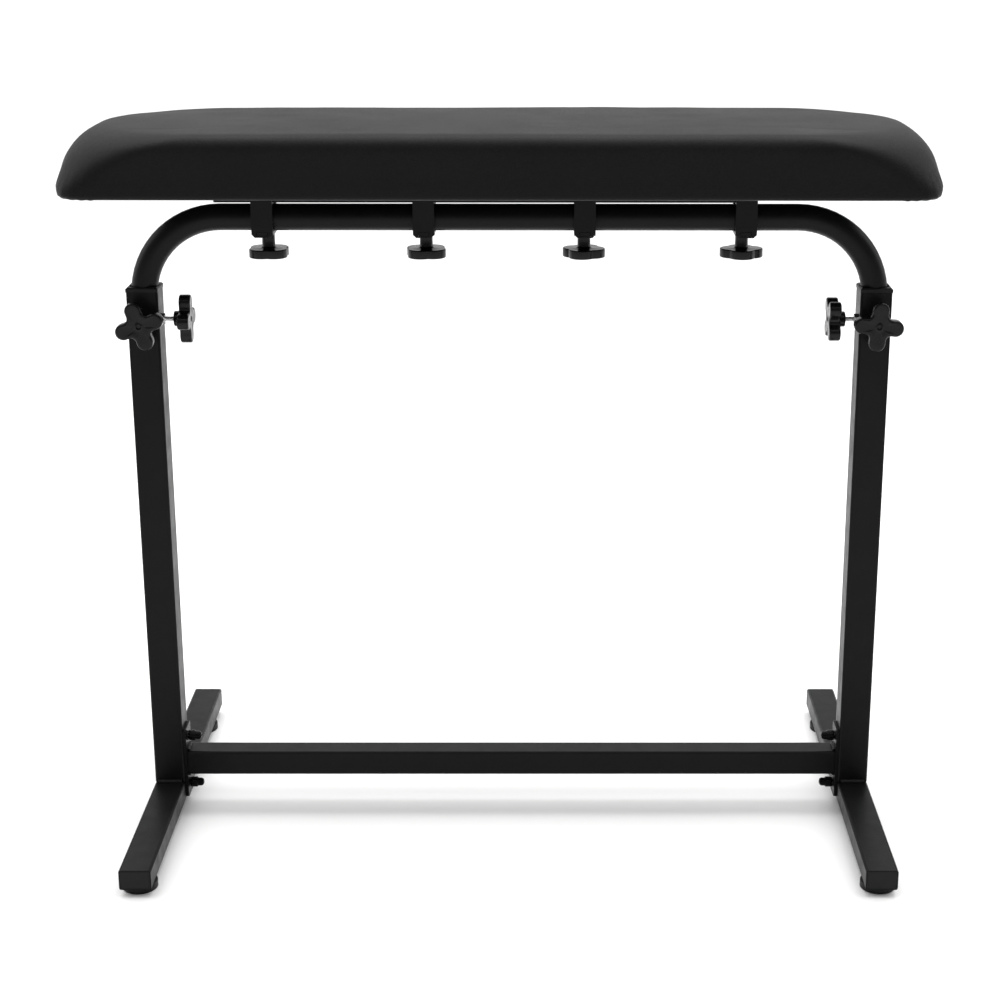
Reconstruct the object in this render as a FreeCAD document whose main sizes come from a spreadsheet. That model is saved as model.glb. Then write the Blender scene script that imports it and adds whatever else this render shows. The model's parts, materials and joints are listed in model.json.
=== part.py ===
import FreeCAD, Part
import math
import os
import Sketcher
from FreeCAD import Placement, Rotation, Vector

os.makedirs("parts", exist_ok=True)

# Padded bench on a height-adjustable tube frame.
# Frame: +X along the bench, +Y to the rear, +Z up, Z = 0 on the floor.
# The origin is under the middle of the whole bench; sizes are millimetres.

doc = FreeCAD.newDocument("PaddedBench")
sheet = doc.addObject("Spreadsheet::Sheet", "Sizes")

SIZES = [
    # frame position under the pad
    ("frame_x", 7.0),          # the frame's middle, off the pad's middle
    ("axis_y", -12.0),         # plane of posts, crossbar and horizontal tube
    # foot tubes
    ("foot_len", 435.0),
    ("foot_wide", 30.0),
    ("foot_tall", 20.0),
    ("foot_low", 8.0),
    ("foot_front", 205.5),     # from the post axis to the front end
    ("tube_wall", 1.5),
    ("corner_rad", 2.2),
    # posts
    ("post_size", 30.0),
    ("post_half", 345.2),      # half the distance between the post axes
    ("post_top", 530.5),
    # crossbar and its end plates
    ("bar_size", 25.0),
    ("bar_low", 35.0),
    ("plate_thick", 3.0),
    ("plate_wide", 27.0),
    ("plate_low", 10.5),
    ("plate_high", 84.0),
    ("bolt_high", 73.0),
    ("bolt_low", 21.5),
    ("bolt_rad", 2.7),
    ("bore_rad", 2.75),
    ("cap_rad", 5.2),          # moulded caps of the thumb bolts
    ("cap_len", 7.2),
    ("nose_rad", 4.1),
    ("nose_len", 6.0),
    # sliding tube
    ("tube_rad", 12.5),
    ("tube_high", 599.5),      # axis of the horizontal run
    ("bend_rad", 75.0),
    ("leg_end", 93.0),
    # collars
    ("collar_size", 30.4),
    ("collar_tall", 4.5),
    ("collar_deep", 20.0),
    ("collar_rad", 13.1),
    # star knobs
    ("star_high", 502.5),
    ("stud_rad", 2.4),
    ("nut_rad", 2.45),
    ("nut_thick", 3.5),
    ("knob_gap", 8.0),         # post face to the hub of a front knob
    ("side_gap", 12.0),        # post face to the hub of a side knob
    ("hub_rad", 7.3),
    ("hub_len", 5.5),
    ("star_thick", 11.0),
    ("star_core", 12.4),
    ("lobe_rad", 7.6),
    ("lobe_off", 15.6),
    ("valley_rad", 4.0),
    # pad
    ("pad_half", 395.0),
    ("pad_deep", 240.0),
    ("pad_low", 632.5),
    ("pad_tall", 57.0),
    ("pad_corner", 60.0),      # corners seen from above
    ("pad_round", 20.0),       # upper edge all round
    ("skin_thick", 1.2),
    ("board_half", 376.0),
    ("board_deep", 222.0),
    ("board_thick", 12.0),
    ("cloth_thick", 1.2),
    ("cloth_half", 354.0),
    ("cloth_deep", 180.0),
    # rail and clamps
    ("rail_half", 250.0),
    ("rail_x", -17.0),
    ("rail_wide", 27.6),
    ("rail_tall", 17.5),
    ("rail_wall", 2.0),
    ("clamp_pitch", 150.0),
    ("clamp_mid", 2.5),        # middle of the row of clamps
    ("clamp_wide", 20.0),
    ("strap_thick", 3.0),
    ("screw_off", 26.0),       # clamp screw axis, behind the tube axis
    ("grip_thick", 8.5),
    ("neck_rad", 6.05),
    ("neck_len", 17.6),
    ("grip_core", 15.5),
    ("grip_lobe", 12.3),
    ("grip_off", 8.2),
    # glides
    ("glide_rad", 16.5),
    ("glide_tall", 8.0),
    ("glide_reach", 183.0),    # from the post axis, to the front and to the rear
    ("stem_rad", 3.95),
    ("stem_bore", 4.0),
]
for i, (name, value) in enumerate(SIZES, start=1):
    sheet.set(f"A{i}", name)
    sheet.set(f"B{i}", f"{value}")
    sheet.setAlias(f"B{i}", name)
doc.recompute()
S = {n: v for n, v in SIZES}

AXIS = {
    "x": Rotation(Vector(0, 1, 0), 90),    # local +Z to +X
    "-x": Rotation(Vector(0, 1, 0), -90),  # local +Z to -X
    "y": Rotation(Vector(1, 0, 0), -90),   # local +Z to +Y
    "-y": Rotation(Vector(1, 0, 0), 90),   # local +Z to -Y
    "z": Rotation(),
    "-z": Rotation(Vector(1, 0, 0), 180),
}
nodes = {}


def E(text):
    """Sheet names inside an expression get the sheet's own prefix."""
    out = str(text)
    for n in sorted(S, key=len, reverse=True):
        out = out.replace(n, "\0%d\0" % list(S).index(n))
    for k, n in enumerate(S):
        out = out.replace("\0%d\0" % k, "Sizes." + n)
    return out


def bind(obj, props):
    for prop, text in props.items():
        obj.setExpression(prop, E(text))
    return obj


def at(obj, x, y, z, axis="z", spin=None):
    rot = AXIS[axis] if spin is None else AXIS[axis].multiply(Rotation(Vector(0, 0, 1), spin))
    obj.Placement = Placement(Vector(0, 0, 0), rot)
    return bind(obj, {"Placement.Base.x": x, "Placement.Base.y": y, "Placement.Base.z": z})


def box(name, lx, ly, lz, x, y, z):
    """Box centred on x and y, standing on z."""
    b = doc.addObject("Part::Box", name)
    bind(b, {"Length": lx, "Width": ly, "Height": lz})
    return at(b, f"({x}) - ({lx}) / 2", f"({y}) - ({ly}) / 2", z)


def cyl(name, r, length, x, y, z, axis="z"):
    c = doc.addObject("Part::Cylinder", name)
    bind(c, {"Radius": r, "Height": length})
    return at(c, x, y, z, axis)


def cut(name, base, *tools):
    tool = tools[0]
    if len(tools) > 1:
        tool = doc.addObject("Part::MultiFuse", name + "_tools")
        tool.Shapes = list(tools)
    c = doc.addObject("Part::Cut", name)
    c.Base, c.Tool = base, tool
    return c


def fuse(name, *shapes):
    f = doc.addObject("Part::MultiFuse", name)
    f.Shapes = list(shapes)
    f.Refine = True
    return f


def group(name, *shapes):
    """Several loose solids in one node."""
    c = doc.addObject("Part::Compound", name)
    c.Links = list(shapes)
    return c


def keep(node, obj):
    obj.Label = node
    nodes[node] = obj
    return obj


def plane(body, role):
    for f in body.Origin.OriginFeatures:
        if f.Role == role:
            return f
    raise RuntimeError("no plane " + role)


def new_body(name):
    return doc.addObject("PartDesign::Body", name)


def new_sketch(body, name, role="XY_Plane", lift=None):
    sk = body.newObject("Sketcher::SketchObject", name)
    sk.AttachmentSupport = [(plane(body, role), "")]
    sk.MapMode = "FlatFace"
    if lift is not None:
        bind(sk, {"AttachmentOffset.Base.z": lift})
    return sk


def con(sk, text, *args):
    """A dimension of the sketch, bound to the sheet."""
    i = sk.addConstraint(Sketcher.Constraint(*args))
    sk.setExpression(f"Constraints[{i}]", E(text))
    return i


def sk_rect(sk, w, h, wt, ht):
    """Rectangle centred on the sketch's origin."""
    n = sk.GeometryCount
    p = [(-w / 2, -h / 2), (w / 2, -h / 2), (w / 2, h / 2), (-w / 2, h / 2)]
    for k in range(4):
        a, b = p[k], p[(k + 1) % 4]
        sk.addGeometry(Part.LineSegment(Vector(a[0], a[1], 0), Vector(b[0], b[1], 0)), False)
    for k in range(4):
        sk.addConstraint(Sketcher.Constraint("Coincident", n + k, 2, n + (k + 1) % 4, 1))
    for k in (0, 2):
        sk.addConstraint(Sketcher.Constraint("Horizontal", n + k))
        sk.addConstraint(Sketcher.Constraint("Vertical", n + k + 1))
    sk.addConstraint(Sketcher.Constraint("Symmetric", n, 1, n + 2, 1, -1, 1))
    con(sk, wt, "DistanceX", n, 1, n, 2, w)
    con(sk, ht, "DistanceY", n + 1, 1, n + 1, 2, h)


def sk_circle(sk, cx, cy, r, rt, cxt=None, cyt=None):
    n = sk.GeometryCount
    sk.addGeometry(Part.Circle(Vector(cx, cy, 0), Vector(0, 0, 1), r), False)
    con(sk, rt, "Radius", n, r)
    if cxt is None:
        sk.addConstraint(Sketcher.Constraint("Coincident", n, 3, -1, 1))
    else:
        con(sk, cxt, "DistanceX", -1, 1, n, 3, cx)
        if cyt is None:
            sk.addConstraint(Sketcher.Constraint("PointOnObject", n, 3, -1))
        else:
            con(sk, cyt, "DistanceY", -1, 1, n, 3, cy)
    return n


def pad(body, sk, length, name):
    p = body.newObject("PartDesign::Pad", name)
    p.Profile = sk
    bind(p, {"Length": length})
    return p


def tube_body(name, w, h, wt, ht, length):
    """Square or rectangular tube along local +Z, with rounded outer corners."""
    b = new_body(name)
    sk = new_sketch(b, name + "_section")
    sk_rect(sk, w, h, wt, ht)
    t = S["tube_wall"]
    sk_rect(sk, w - 2 * t, h - 2 * t, f"({wt}) - 2 * tube_wall", f"({ht}) - 2 * tube_wall")
    p = pad(b, sk, length, name + "_pad")
    doc.recompute()
    edges = []
    for k, e in enumerate(p.Shape.Edges, start=1):
        if e.Curve.TypeId != "Part::GeomLine":
            continue
        d = e.tangentAt(e.FirstParameter)
        c = e.CenterOfMass
        if abs(d.z) > 0.99 and abs(abs(c.x) - w / 2) < 0.01 and abs(abs(c.y) - h / 2) < 0.01:
            edges.append(f"Edge{k}")
    f = b.newObject("PartDesign::Fillet", name + "_round")
    f.Base = (p, edges)
    bind(f, {"Radius": "corner_rad"})
    b.Tip = f
    return b


SIDES = (("left", "-1"), ("right", "1"))
POST_IN = "post_size / 2"

# ---------------------------------------------------------------- frame
insert_solids, weld_solids, star_nuts, cap_solids = [], [], [], []
for side, sgn in SIDES:
    px = f"frame_x + ({sgn}) * post_half"
    inner = f"frame_x + ({sgn}) * (post_half - post_size / 2)"
    to_in = "x" if side == "left" else "-x"     # from the post towards the middle
    to_out = "-x" if side == "left" else "x"

    # foot tube, along Y, flat on its glides
    foot = tube_body(f"foot_{side}_tube", S["foot_wide"], S["foot_tall"], "foot_wide", "foot_tall", "foot_len")
    at(foot, px, "axis_y - foot_front", "foot_low + foot_tall / 2", "y")
    holes = [
        cyl(f"foot_{side}_bolt_hole", "4.5", "8", f"{inner} - ({sgn}) * 4", "axis_y", "bolt_low", to_out),
    ]
    for end, es in (("front", "-1"), ("rear", "1")):
        holes.append(cyl(f"foot_{side}_{end}_glide_hole", "5.5", "4", px,
                         f"axis_y + ({es}) * glide_reach", "foot_low - 1"))
        insert = cut(f"foot_{side}_{end}_insert",
                     cyl(f"foot_{side}_{end}_insert_body", "5.5", "12", px,
                         f"axis_y + ({es}) * glide_reach", "foot_low"),
                     cyl(f"foot_{side}_{end}_insert_bore", "stem_bore", "14", px,
                         f"axis_y + ({es}) * glide_reach", "foot_low - 1"))
        insert_solids.append(insert)
        # end cap: a thin plate with a plug inside the tube
        ey = f"axis_y - foot_front + ({'0' if end == 'front' else 'foot_len'})"
        es_in = "1" if end == "front" else "-1"
        plug = box(f"foot_{side}_{end}_cap_plug", "foot_wide - 2 * tube_wall", "10",
                   "foot_tall - 2 * tube_wall", px, f"{ey} + ({es_in}) * 5", "foot_low + tube_wall")
        cap_solids.append(plug)
    foot_cut = cut(f"foot_{side}_drilled", foot, *holes)
    keep(f"foot_{side}", foot_cut)

    # post, standing on the foot
    post = tube_body(f"post_{side}_tube", S["post_size"], S["post_size"], "post_size", "post_size",
                     "post_top - foot_low - foot_tall")
    at(post, px, "axis_y", "foot_low + foot_tall")
    post_cut = cut(f"post_{side}_drilled", post,
                   cyl(f"post_{side}_front_hole", "2.9", "6", px, "axis_y - post_size / 2 - 2", "star_high", "y"),
                   cyl(f"post_{side}_side_hole", "2.9", "6", f"{inner} - ({sgn}) * 3", "axis_y", "star_high",
                       to_out),
                   cyl(f"post_{side}_bolt_hole", "4.5", "8", f"{inner} - ({sgn}) * 4", "axis_y", "bolt_high",
                       to_out))
    keep(f"post_{side}", post_cut)

    # threaded inserts for the thumb bolts, in the post wall and in the foot wall
    for where, zz in (("post", "bolt_high"), ("foot", "bolt_low")):
        insert_solids.append(cut(
            f"{where}_{side}_insert",
            cyl(f"{where}_{side}_insert_body", "4.5", "11", inner, "axis_y", zz, to_out),
            cyl(f"{where}_{side}_insert_bore", "bore_rad", "14", f"{inner} - ({sgn}) * 1", "axis_y", zz, to_out)))

    # weld nuts for the two star knobs of this post
    for where, ax, nx, ny in (
        ("front", "-y", px, "axis_y - post_size / 2"),
        ("side", to_in, inner, "axis_y"),
    ):
        hexa = doc.addObject("Part::Prism", f"star_nut_{side}_{where}_hex")
        hexa.Polygon = 6
        bind(hexa, {"Circumradius": "5.2", "Height": "nut_thick"})
        at(hexa, nx, ny, "star_high", ax)
        if where == "front":
            bore = cyl(f"star_nut_{side}_{where}_bore", "nut_rad", "nut_thick + 2", nx, f"{ny} + 1", "star_high", ax)
        else:
            bore = cyl(f"star_nut_{side}_{where}_bore", "nut_rad", "nut_thick + 2", f"{nx} + ({sgn}) * 1", ny,
                       "star_high", ax)
        star_nuts.append(cut(f"star_nut_{side}_{where}", hexa, bore))

    # collar: chamfered flange on the post's end and a square sleeve inside it
    flange = box(f"collar_{side}_flange", "collar_size", "collar_size", "collar_tall", px, "axis_y", "post_top")
    top = doc.addObject("Part::Chamfer", f"collar_{side}_edge")
    top.Base = flange
    doc.recompute()
    top.Edges = [(k, 1.4, 1.4) for k, e in enumerate(flange.Shape.Edges, start=1)
                 if abs(e.CenterOfMass.z - S["post_top"] - S["collar_tall"]) < 0.01]
    sleeve = box(f"collar_{side}_sleeve", "post_size - 2 * tube_wall", "post_size - 2 * tube_wall",
                 "collar_deep", px, "axis_y", "post_top - collar_deep")
    mouth = doc.addObject("Part::Cone", f"collar_{side}_mouth")
    bind(mouth, {"Radius1": "collar_rad", "Radius2": "collar_rad + 1.4", "Height": "3.2"})
    at(mouth, px, "axis_y", "post_top + collar_tall - 3.2")
    collar = cut(f"collar_{side}_bored", fuse(f"collar_{side}_body", top, sleeve),
                 cyl(f"collar_{side}_bore", "collar_rad", "60", px, "axis_y", "post_top - 40"), mouth)
    keep(f"collar_{side}", collar)

    # end plate of the crossbar, bolted to the post above and to the foot below
    plate_x = f"frame_x + ({sgn}) * (post_half - post_size / 2 - plate_thick / 2)"
    plate = box(f"end_plate_{side}_blank", "plate_thick", "plate_wide", "plate_high - plate_low", plate_x,
                "axis_y", "plate_low")
    rounded = doc.addObject("Part::Fillet", f"end_plate_{side}_round")
    rounded.Base = plate
    doc.recompute()
    rounded.Edges = [(k, 3.0, 3.0) for k, e in enumerate(plate.Shape.Edges, start=1)
                     if abs(e.tangentAt(e.FirstParameter).x) > 0.99]
    drilled = cut(f"end_plate_{side}_drilled", rounded,
                  cyl(f"end_plate_{side}_upper", "3.2", "8", f"{plate_x} - 4", "axis_y", "bolt_high", "x"),
                  cyl(f"end_plate_{side}_lower", "3.2", "8", f"{plate_x} - 4", "axis_y", "bolt_low", "x"))
    keep(f"end_plate_{side}", drilled)

    # weld beads: post to foot at the front and rear, crossbar to plate above and below
    post_box = box(f"weld_{side}_post_block", "post_size", "post_size", "60", px, "axis_y",
                   "foot_low + foot_tall")
    foot_box = box(f"weld_{side}_foot_block", "foot_wide + 20", "200", "foot_tall", px, "axis_y", "foot_low")
    for end, es in (("front", "-1"), ("rear", "1")):
        bead = cyl(f"weld_{side}_{end}_rod", "3.2", "24", f"{px} - 12",
                   f"axis_y + ({es}) * post_size / 2", "foot_low + foot_tall", "x")
        weld_solids.append(cut(f"weld_{side}_{end}", bead, post_box, foot_box))
    bar_end = f"frame_x + ({sgn}) * (post_half - post_size / 2 - plate_thick)"
    plate_box = box(f"weld_{side}_plate_block", "20", "40", "90", f"{bar_end} + ({sgn}) * 10", "axis_y", "0")
    bar_box = box(f"weld_{side}_bar_block", "40", "bar_size", "bar_size", f"{bar_end} - ({sgn}) * 10", "axis_y",
                  "bar_low")
    for end, zz in (("top", "bar_low + bar_size"), ("base", "bar_low")):
        bead = cyl(f"weld_{side}_{end}_rod", "2.6", "18", bar_end, "axis_y - 9", zz, "y")
        weld_solids.append(cut(f"weld_{side}_{end}", bead, plate_box, bar_box))

bar = tube_body("crossbar_tube", S["bar_size"], S["bar_size"], "bar_size", "bar_size",
                "2 * (post_half - post_size / 2 - plate_thick)")
at(bar, "frame_x - (post_half - post_size / 2 - plate_thick)", "axis_y", "bar_low + bar_size / 2", "x")
keep("crossbar", bar)
keep("frame_welds", group("weld_group", *weld_solids))
keep("star_weld_nuts", group("star_nut_group", *star_nuts))
keep("threaded_inserts", group("insert_group", *insert_solids))
keep("foot_end_caps", group("cap_group", *cap_solids))

# ---------------------------------------------------------------- sliding tube
ub = new_body("u_tube_body")
path = new_sketch(ub, "u_tube_path", "XZ_Plane")
L, H, R, B = S["post_half"], S["tube_high"], S["bend_rad"], S["leg_end"]
V = lambda a, b: Vector(a, b, 0)
path.addGeometry(Part.LineSegment(V(-L, B), V(-L, H - R)), False)
path.addGeometry(Part.ArcOfCircle(Part.Circle(V(-L + R, H - R), Vector(0, 0, 1), R), math.pi / 2, math.pi), False)
path.addGeometry(Part.LineSegment(V(-L + R, H), V(L - R, H)), False)
path.addGeometry(Part.ArcOfCircle(Part.Circle(V(L - R, H - R), Vector(0, 0, 1), R), 0, math.pi / 2), False)
path.addGeometry(Part.LineSegment(V(L, H - R), V(L, B)), False)
C = Sketcher.Constraint
path.addConstraint(C("Vertical", 0))
path.addConstraint(C("Vertical", 4))
path.addConstraint(C("Horizontal", 2))
path.addConstraint(C("Tangent", 0, 2, 1, 2))
path.addConstraint(C("Tangent", 1, 1, 2, 1))
path.addConstraint(C("Tangent", 2, 2, 3, 2))
path.addConstraint(C("Tangent", 3, 1, 4, 1))
con(path, "bend_rad", "Radius", 1, R)
con(path, "bend_rad", "Radius", 3, R)
con(path, "post_half", "DistanceX", 0, 1, -1, 1, L)
con(path, "post_half", "DistanceX", -1, 1, 4, 2, L)
con(path, "leg_end", "DistanceY", -1, 1, 0, 1, B)
con(path, "leg_end", "DistanceY", -1, 1, 4, 2, B)
con(path, "tube_high", "DistanceY", -1, 1, 2, 1, H)
ring = new_sketch(ub, "u_tube_ring", "XY_Plane", "leg_end")
sk_circle(ring, -L, 0, S["tube_rad"], "tube_rad", "-post_half")
sk_circle(ring, -L, 0, S["tube_rad"] - 1.5, "tube_rad - tube_wall", "-post_half")
doc.recompute()
pipe = ub.newObject("PartDesign::AdditivePipe", "u_tube_pipe")
pipe.Profile = ring
pipe.Spine = (path, [f"Edge{k}" for k in range(1, 6)])
doc.recompute()
at(ub, "frame_x", "axis_y", "0")
keep("u_tube", ub)

plug_solids = []
for side, sgn in SIDES:
    px = f"frame_x + ({sgn}) * post_half"
    head = box(f"leg_plug_{side}_head", "post_size - 2 * tube_wall - 0.7", "post_size - 2 * tube_wall - 0.7", "8",
               px, "axis_y", "leg_end - 8")
    stem = cyl(f"leg_plug_{side}_stem", "tube_rad - tube_wall", "16", px, "axis_y", "leg_end - 8")
    plug_solids.append(fuse(f"leg_plug_{side}", head, stem))
keep("leg_guide_plugs", group("leg_plug_group", *plug_solids))


# ---------------------------------------------------------------- knobs
def star(name, core, lobe, off, thick, hub_r, hub_l, vals, valley, recess):
    """Four-lobed knob along local +Z: hub from 0, lobed grip above it, a blind hole for the stud."""
    c, l, o, t, hr, hl = vals
    b = new_body(name)
    s0 = new_sketch(b, name + "_hub_sketch")
    sk_circle(s0, 0, 0, hr, hub_r)
    pad(b, s0, f"({hub_l}) + 2", name + "_hub")
    s1 = new_sketch(b, name + "_core_sketch", lift=hub_l)
    sk_circle(s1, 0, 0, c, core)
    pad(b, s1, thick, name + "_core")
    s2 = new_sketch(b, name + "_lobe_sketch", lift=hub_l)
    sk_circle(s2, o, 0, l, lobe, off)
    lob = pad(b, s2, thick, name + "_lobe")
    doc.recompute()
    pat = b.newObject("PartDesign::PolarPattern", name + "_lobes")
    pat.Originals = [lob]
    pat.Axis = (plane(b, "Z_Axis"), [""])
    pat.Angle = 360
    pat.Occurrences = 4
    b.Tip = pat
    doc.recompute()
    # concave corners between the lobes
    zmid = hl + t / 2
    names = []
    for k, e in enumerate(pat.Shape.Edges, start=1):
        if e.Curve.TypeId != "Part::GeomLine":
            continue
        p = e.CenterOfMass
        if abs(p.z - zmid) < 0.6 and abs(e.tangentAt(e.FirstParameter).z) > 0.99 and math.hypot(p.x, p.y) < o + l - 0.8:
            names.append(f"Edge{k}")
    f1 = b.newObject("PartDesign::Fillet", name + "_valleys")
    f1.Base = (pat, names)
    bind(f1, {"Radius": valley})
    b.Tip = f1
    doc.recompute()
    names = []
    for k, e in enumerate(f1.Shape.Edges, start=1):
        zs = [v.Point.z for v in e.Vertexes]
        p = e.CenterOfMass
        if all(abs(z - hl - t) < 1e-3 for z in zs) and math.hypot(p.x, p.y) > hr:
            names.append(f"Edge{k}")
        elif all(abs(z - hl) < 1e-3 for z in zs) and e.Length > 2 and math.hypot(p.x, p.y) > hr + 0.5:
            names.append(f"Edge{k}")
    f2 = b.newObject("PartDesign::Fillet", name + "_edges")
    f2.Base = (f1, names)
    f2.Radius = 1.4
    b.Tip = f2
    doc.recompute()
    hole = new_sketch(b, name + "_hole_sketch")
    sk_circle(hole, 0, 0, S["stud_rad"], "stud_rad")
    ph = b.newObject("PartDesign::Pocket", name + "_hole")
    ph.Profile = hole
    ph.Reversed = True
    bind(ph, {"Length": f"({hub_l}) + 5"})
    doc.recompute()
    before = f2.Shape.Volume
    if ph.Shape.Volume > before - 10:
        raise RuntimeError(name + ": the stud hole cut nothing")
    if recess:
        rs = new_sketch(b, name + "_recess_sketch", lift=f"({hub_l}) + ({thick})")
        sk_circle(rs, 0, 0, 3.1, "3.1")
        pr = b.newObject("PartDesign::Pocket", name + "_recess")
        pr.Profile = rs
        bind(pr, {"Length": "1.5"})
        doc.recompute()
        if pr.Shape.Volume > ph.Shape.Volume - 10:
            raise RuntimeError(name + ": the recess cut nothing")
    return b


STAR = (S["star_core"], S["lobe_rad"], S["lobe_off"], S["star_thick"], S["hub_rad"], S["hub_len"])
GRIP = (S["grip_core"], S["grip_lobe"], S["grip_off"], S["grip_thick"], S["neck_rad"], S["neck_len"])
STAR_TURN = {("left", "front"): 19.0, ("right", "front"): -5.0, ("left", "side"): 0.0, ("right", "side"): 45.0}
for side, sgn in SIDES:
    px = f"frame_x + ({sgn}) * post_half"
    inner = f"frame_x + ({sgn}) * (post_half - post_size / 2)"
    to_in = "x" if side == "left" else "-x"
    for where in ("front", "side"):
        knob = star(f"star_{side}_{where}", "star_core", "lobe_rad", "lobe_off", "star_thick", "hub_rad", "hub_len",
                    STAR, "valley_rad", True)
        turn = STAR_TURN[(side, where)]
        if where == "front":
            at(knob, px, "axis_y - post_size / 2 - knob_gap", "star_high", "-y", turn)
            # the stud ends just short of the sliding tube
            stud = cyl(f"star_{side}_{where}_stud_rod", "stud_rad",
                       "post_size / 2 + knob_gap + hub_len + 5 - tube_rad - 0.4",
                       px, "axis_y - tube_rad - 0.4", "star_high", "-y")
        else:
            at(knob, f"{inner} - ({sgn}) * side_gap", "axis_y", "star_high", to_in, turn)
            stud = cyl(f"star_{side}_{where}_stud_rod", "stud_rad",
                       "post_size / 2 + side_gap + hub_len + 5 - tube_rad - 0.4",
                       f"{px} - ({sgn}) * (tube_rad + 0.4)", "axis_y", "star_high", to_in)
        keep(f"star_knob_{side}_{where}", knob)
        keep(f"star_stud_{side}_{where}", stud)

# thumb bolts: a moulded cap with a domed nose on a zinc bolt
for side, sgn in SIDES:
    to_in = "x" if side == "left" else "-x"
    to_out = "-x" if side == "left" else "x"
    face = f"frame_x + ({sgn}) * (post_half - post_size / 2 - plate_thick)"
    face_x = S["frame_x"] + float(sgn) * (S["post_half"] - S["post_size"] / 2 - S["plate_thick"])
    for where, zz in (("upper", "bolt_high"), ("lower", "bolt_low")):
        n = f"thumb_{side}_{where}"
        start = f"{face} - ({sgn}) * 0.4"
        blank = fuse(n + "_blank", cyl(n + "_grip", "cap_rad", "cap_len", start, "axis_y", zz, to_in),
                     cyl(n + "_nose", "nose_rad", "cap_len + nose_len", start, "axis_y", zz, to_in))
        doc.recompute()
        soft = doc.addObject("Part::Fillet", n + "_soft")
        soft.Base = blank
        rims = []
        for k, e in enumerate(blank.Shape.Edges, start=1):
            if e.Curve.TypeId != "Part::GeomCircle":
                continue
            away = abs(e.CenterOfMass.x - face_x)
            if away > 13:
                rims.append((k, 2.6, 2.6))
            elif 7 < away < 8 and e.Curve.Radius > 5:
                rims.append((k, 0.7, 0.7))
        soft.Edges = rims
        if len(rims) != 2:
            raise RuntimeError(n + ": rims not found")
        keep(f"bolt_cap_{side}_{where}",
             cut(n + "_cap", soft, cyl(n + "_hole", "bolt_rad", "8", f"{face} + ({sgn}) * 1", "axis_y", zz, to_in)))
        keep(f"bolt_shank_{side}_{where}",
             cyl(n + "_shank", "bolt_rad", "7 + plate_thick + 10.5", f"{face} - ({sgn}) * 7", "axis_y", zz, to_out))

# glides: a disc with a threaded stem that goes up into the foot
for side, sgn in SIDES:
    px = f"frame_x + ({sgn}) * post_half"
    for end, es in (("front", "-1"), ("rear", "1")):
        n = f"glide_{end}_{side}"
        gb = new_body(n + "_body")
        s0 = new_sketch(gb, n + "_disc_sketch")
        sk_circle(s0, 0, 0, S["glide_rad"], "glide_rad")
        disc = pad(gb, s0, "glide_tall - 0.35", n + "_disc")
        doc.recompute()
        ch = gb.newObject("PartDesign::Chamfer", n + "_edge")
        ch.Base = (disc, [f"Edge{k}" for k, e in enumerate(disc.Shape.Edges, start=1)
                          if e.Curve.TypeId == "Part::GeomCircle"])
        ch.Size = 0.8
        gb.Tip = ch
        s1 = new_sketch(gb, n + "_stem_sketch", lift="1")
        sk_circle(s1, 0, 0, S["stem_rad"], "stem_rad")
        pad(gb, s1, "glide_tall + 12", n + "_stem")
        at(gb, px, f"axis_y + ({es}) * glide_reach", "0")
        keep(n, gb)


# ---------------------------------------------------------------- padded top
def loaf(inset, low):
    """Pad outline: a block with upright walls, rounded corners seen from above and rounded long edges."""
    half, tall = S["pad_half"] - inset, S["pad_tall"] - 2 * inset
    z0 = S["pad_low"] + inset
    deep = S["pad_deep"] - 2 * inset
    block = Part.makeBox(2 * half, deep, tall, Vector(-half, S["axis_y"] - deep / 2, z0))
    block = block.makeFillet(S["pad_corner"] - inset, [e for e in block.Edges if e.BoundBox.ZLength > tall - 1])
    block = block.makeFillet(S["pad_round"] - inset, [e for e in block.Edges if e.BoundBox.ZMin > z0 + tall - 0.01])
    block = block.makeFillet(4.0 - inset, [e for e in block.Edges if e.BoundBox.ZMax < z0 + 0.01])
    if low is not None:
        block = block.common(Part.makeBox(4 * half, 4 * deep, 200, Vector(-2 * half, -2 * deep, low)))
    return block


outer = loaf(0.0, None)
board_low = S["pad_low"] + S["cloth_thick"]
inner_solid = loaf(S["skin_thick"], board_low)

board = box("base_board_blank", "2 * board_half", "board_deep", "board_thick", "0", "axis_y",
            "pad_low + cloth_thick")
bround = doc.addObject("Part::Fillet", "base_board_round")
bround.Base = board
doc.recompute()
bround.Edges = [(k, 40.0, 40.0) for k, e in enumerate(board.Shape.Edges, start=1)
                if abs(e.tangentAt(e.FirstParameter).z) > 0.99]
doc.recompute()
keep("base_board", bround)

cloth = box("dust_cover_sheet", "2 * cloth_half", "cloth_deep", "cloth_thick", "0", "axis_y", "pad_low")
keep("dust_cover", cloth)

foam = doc.addObject("Part::Feature", "foam_core_solid")
foam.Shape = inner_solid.cut(bround.Shape)
foam.Placement = Placement(Vector(0, 0, 0), Rotation())
keep("foam_core", foam)

cover = doc.addObject("Part::Feature", "seat_cover_shell")
opening = Part.makeBox(2 * S["cloth_half"], S["cloth_deep"], 20,
                       Vector(-S["cloth_half"], S["axis_y"] - S["cloth_deep"] / 2, S["pad_low"] - 10))
cover.Shape = outer.cut(inner_solid).cut(opening)
cover.Placement = Placement(Vector(0, 0, 0), Rotation())
keep("seat_cover", cover)

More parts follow.
